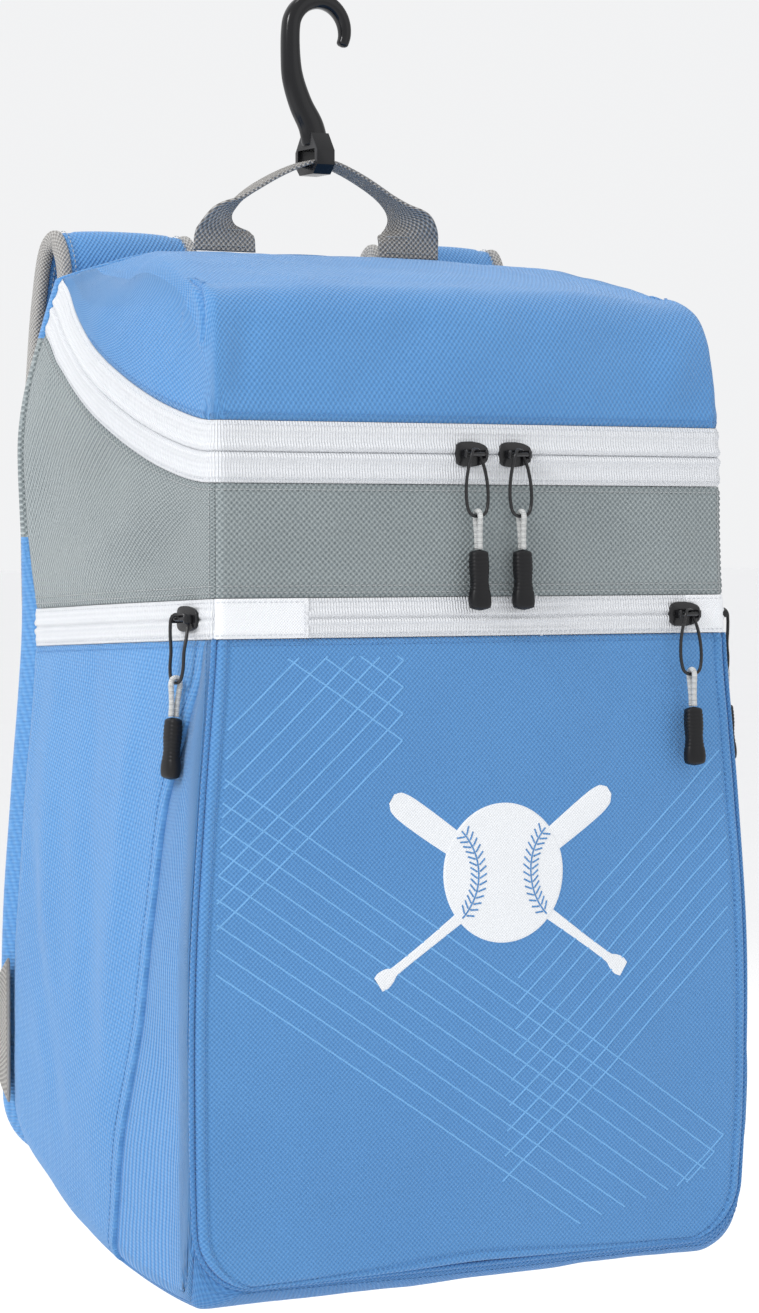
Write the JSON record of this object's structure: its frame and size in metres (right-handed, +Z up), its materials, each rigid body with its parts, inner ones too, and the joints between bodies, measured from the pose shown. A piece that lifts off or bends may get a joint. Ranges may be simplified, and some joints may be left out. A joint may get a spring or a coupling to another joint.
{
  "type": "baseball bat backpack",
  "caption": "Tall zipped equipment backpack with a boxy front, side pockets, a domed zip-open lid, padded straps and a haul loop hung on an open hook.",
  "frame": {"origin": "inner top of the hook bend, where the hook bears on a rail, at the middle of the haul loop's depth", "axes": "+Z up, +X to the right of the front as seen by a viewer, and the front of the bag faces -Y"},
  "size_m": [0.3591, 0.2841, 0.6872],
  "materials": {
    "cloth_blue": "light blue woven polyester, matt",
    "yoke_grey": "grey heathered woven polyester, matt",
    "zip_white": "white coated zipper tape, slight sheen",
    "webbing_grey": "grey basket-weave webbing, matt",
    "black_plastic": "glossy black moulded plastic",
    "black_metal": "black painted zinc, satin",
    "black_rubber": "black moulded rubber, satin",
    "cord_white": "white braided cord"
  },
  "bodies": {
    "bag": {"main_zipper_lower_tape": "zip_white", "main_zipper_upper_tape": "zip_white", "left_stop_tab": "zip_white", "front_pocket_zipper": "zip_white", "right_stop_tab": "zip_white", "left_side_zipper": "zip_white", "right_side_zipper": "zip_white", "yoke_left": "yoke_grey", "yoke_front": "yoke_grey", "yoke_right": "yoke_grey", "lid_panel": "cloth_blue", "front_panel": "cloth_blue", "side_gusset_left": "cloth_blue", "side_pocket_left": "cloth_blue", "side_gusset_right": "cloth_blue", "side_pocket_right": "cloth_blue", "bottom_panel": "cloth_blue", "back_panel": "cloth_blue", "left_shoulder_strap": "cloth_blue", "left_strap_outer_binding": "webbing_grey", "left_strap_inner_binding": "webbing_grey", "left_strap_wing": "webbing_grey", "left_strap_webbing": "webbing_grey", "right_shoulder_strap": "cloth_blue", "right_strap_outer_binding": "webbing_grey", "right_strap_inner_binding": "webbing_grey", "right_strap_wing": "webbing_grey", "right_strap_webbing": "webbing_grey", "haul_loop": "webbing_grey", "hook": "black_plastic", "main_left_slider": "black_metal", "main_right_slider": "black_metal", "pocket_slider": "black_metal", "left_side_slider": "black_metal", "right_side_slider": "black_metal"},
    "main_left_pull": {"main_left_pull_ring": "black_metal", "main_left_pull_cord": "cord_white", "main_left_pull_grip": "black_rubber"},
    "main_right_pull": {"main_right_pull_ring": "black_metal", "main_right_pull_cord": "cord_white", "main_right_pull_grip": "black_rubber"},
    "pocket_pull": {"pocket_pull_ring": "black_metal", "pocket_pull_cord": "cord_white", "pocket_pull_grip": "black_rubber"},
    "left_side_pull": {"left_side_pull_ring": "black_metal", "left_side_pull_cord": "cord_white", "left_side_pull_grip": "black_rubber"},
    "right_side_pull": {"right_side_pull_ring": "black_metal", "right_side_pull_cord": "cord_white", "right_side_pull_grip": "black_rubber"}
  },
  "joints": [
    {"name": "main_left_pull_swing", "type": "hinge", "parent": "bag", "child": "main_left_pull", "pos_m": [-0.012, -0.19459, -0.251], "axis": [-1, 0, 0], "range_deg": [0, 110]},
    {"name": "main_right_pull_swing", "type": "hinge", "parent": "bag", "child": "main_right_pull", "pos_m": [0.014, -0.19458, -0.251], "axis": [-1, 0, 0], "range_deg": [0, 110]},
    {"name": "pocket_pull_swing", "type": "hinge", "parent": "bag", "child": "pocket_pull", "pos_m": [0.118, -0.19603, -0.334], "axis": [-1, 0, 0], "range_deg": [0, 110]},
    {"name": "left_side_pull_swing", "type": "hinge", "parent": "bag", "child": "left_side_pull", "pos_m": [-0.16731, -0.16745, -0.3343], "axis": [-0.0865, 0.9963, 0], "range_deg": [0, 110]},
    {"name": "right_side_pull_swing", "type": "hinge", "parent": "bag", "child": "right_side_pull", "pos_m": [0.15513, -0.16945, -0.3343], "axis": [-0.0865, -0.9963, 0], "range_deg": [0, 110]}
  ]
}
